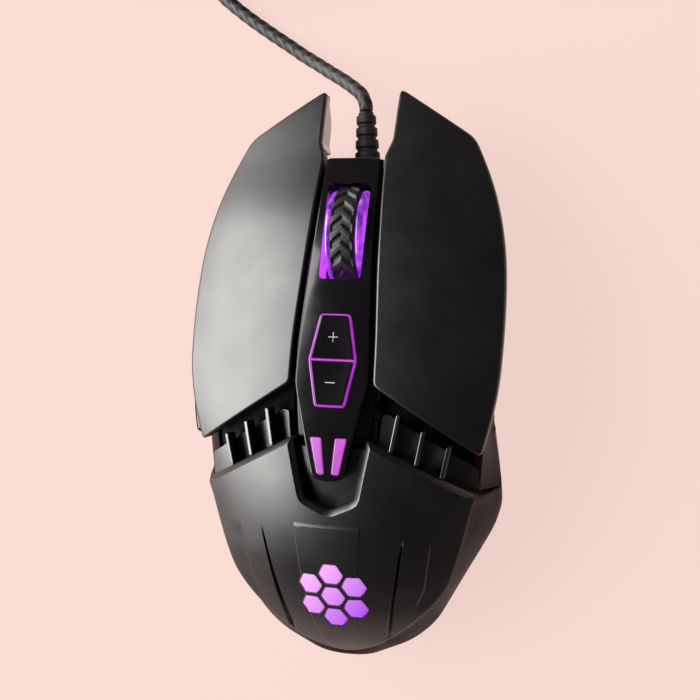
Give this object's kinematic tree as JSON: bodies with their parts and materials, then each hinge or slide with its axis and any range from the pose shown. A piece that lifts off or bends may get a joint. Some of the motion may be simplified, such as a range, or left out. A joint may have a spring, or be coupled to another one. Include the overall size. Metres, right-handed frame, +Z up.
{
  "type": "computer mouse",
  "caption": "Wired gaming mouse with two hinged button covers, a lit scroll wheel, resolution and thumb buttons, and a braided USB cable wound in a coil.",
  "frame": {"origin": "middle of the mouse's footprint on the surface it stands on, without its cable", "axes": "+Z up, +Y forward to the cable, +X to the user's right"},
  "size_m": [0.0994, 0.2077, 0.0389],
  "materials": {
    "satin_black": "fine-grained satin black, soft-touch paint",
    "side_black": "semi-gloss warm black",
    "gloss_black": "piano black, polished",
    "inner_black": "plain moulded black",
    "lit_purple": "milky light guide, lit purple",
    "rubber_black": "matt black rubber",
    "steel": "bright plated steel",
    "board_green": "green solder mask",
    "chip_black": "matt moulded case",
    "switch_red": "red moulded plunger",
    "nylon_white": "natural white nylon",
    "foot_black": "slippery matt film",
    "clear_lens": "clear polycarbonate",
    "braid_black": "braided nylon sleeve, black"
  },
  "bodies": {
    "mouse_body": {"bottom_shell": "satin_black", "palm_shell": "satin_black", "left_side_panel": "side_black", "right_side_panel": "side_black", "spine_cover": "gloss_black", "mid_frame": "inner_black", "wheel_guide_left": "inner_black", "wheel_guide_right": "inner_black", "dpi_light_ring": "lit_purple", "light_bar_left": "lit_purple", "light_bar_right": "lit_purple", "emblem_lens": "lit_purple", "strain_relief": "rubber_black", "plug_body": "rubber_black", "cable_tie": "rubber_black", "left_hinge_pin": "steel", "right_hinge_pin": "steel", "case_screw_1": "steel", "case_screw_2": "steel", "case_screw_3": "steel", "case_screw_4": "steel", "wheel_spring": "steel", "plug_shell": "steel", "main_board": "board_green", "dpi_board": "board_green", "thumb_board": "board_green", "optical_sensor": "chip_black", "controller_chip": "chip_black", "left_switch": "chip_black", "right_switch": "chip_black", "wheel_switch": "chip_black", "wheel_encoder": "chip_black", "dpi_up_switch": "chip_black", "dpi_down_switch": "chip_black", "thumb_front_switch": "chip_black", "thumb_rear_switch": "chip_black", "cable_socket": "nylon_white", "emblem_led": "nylon_white", "plug_tongue": "nylon_white", "front_foot": "foot_black", "rear_foot": "foot_black", "sensor_lens": "clear_lens", "cable": "braid_black", "cable_coil": "braid_black", "cable_tail": "braid_black"},
    "left_click": {"left_button": "satin_black", "left_plunger": "switch_red"},
    "right_click": {"right_button": "satin_black", "right_plunger": "switch_red"},
    "wheel_carrier": {"wheel_carriage": "nylon_white", "wheel_plunger": "switch_red"},
    "wheel": {"wheel_tyre": "rubber_black", "wheel_hub": "lit_purple", "wheel_axle": "steel"},
    "dpi_up": {"dpi_up_button": "gloss_black"},
    "dpi_down": {"dpi_down_button": "gloss_black"},
    "thumb_front": {"thumb_front_button": "gloss_black", "thumb_front_plunger": "switch_red"},
    "thumb_rear": {"thumb_rear_button": "gloss_black", "thumb_rear_plunger": "switch_red"}
  },
  "joints": [
    {"name": "left_click", "type": "hinge", "parent": "mouse_body", "child": "left_click", "pos_m": [0, 0.005, 0.0292], "axis": [-1, 0, 0], "range_deg": [0, 0.8], "stiffness_Nm_per_rad": 0.6, "springref_deg": -0.57},
    {"name": "right_click", "type": "hinge", "parent": "mouse_body", "child": "right_click", "pos_m": [0, 0.005, 0.0292], "axis": [-1, 0, 0], "range_deg": [0, 0.8], "stiffness_Nm_per_rad": 0.6, "springref_deg": -0.57},
    {"name": "wheel_press", "type": "slide", "parent": "mouse_body", "child": "wheel_carrier", "axis": [0, 0, -1], "range_m": [0, 0.0005], "stiffness_N_per_m": 150, "springref_m": -0.0008},
    {"name": "wheel_spin", "type": "hinge", "parent": "wheel_carrier", "child": "wheel", "pos_m": [0, 0.0302, 0.0226], "axis": [1, 0, 0], "continuous": true},
    {"name": "dpi_up_press", "type": "slide", "parent": "mouse_body", "child": "dpi_up", "axis": [0, -0.157, -0.9876], "range_m": [0, 0.0004], "stiffness_N_per_m": 40, "springref_m": -0.0004},
    {"name": "dpi_down_press", "type": "slide", "parent": "mouse_body", "child": "dpi_down", "axis": [0, -0.157, -0.9876], "range_m": [0, 0.0004], "stiffness_N_per_m": 40, "springref_m": -0.0004},
    {"name": "thumb_front_press", "type": "slide", "parent": "mouse_body", "child": "thumb_front", "axis": [1, 0, 0], "range_m": [0, 0.0006], "stiffness_N_per_m": 60, "springref_m": -0.0004},
    {"name": "thumb_rear_press", "type": "slide", "parent": "mouse_body", "child": "thumb_rear", "axis": [1, 0, 0], "range_m": [0, 0.0006], "stiffness_N_per_m": 60, "springref_m": -0.0004}
  ]
}
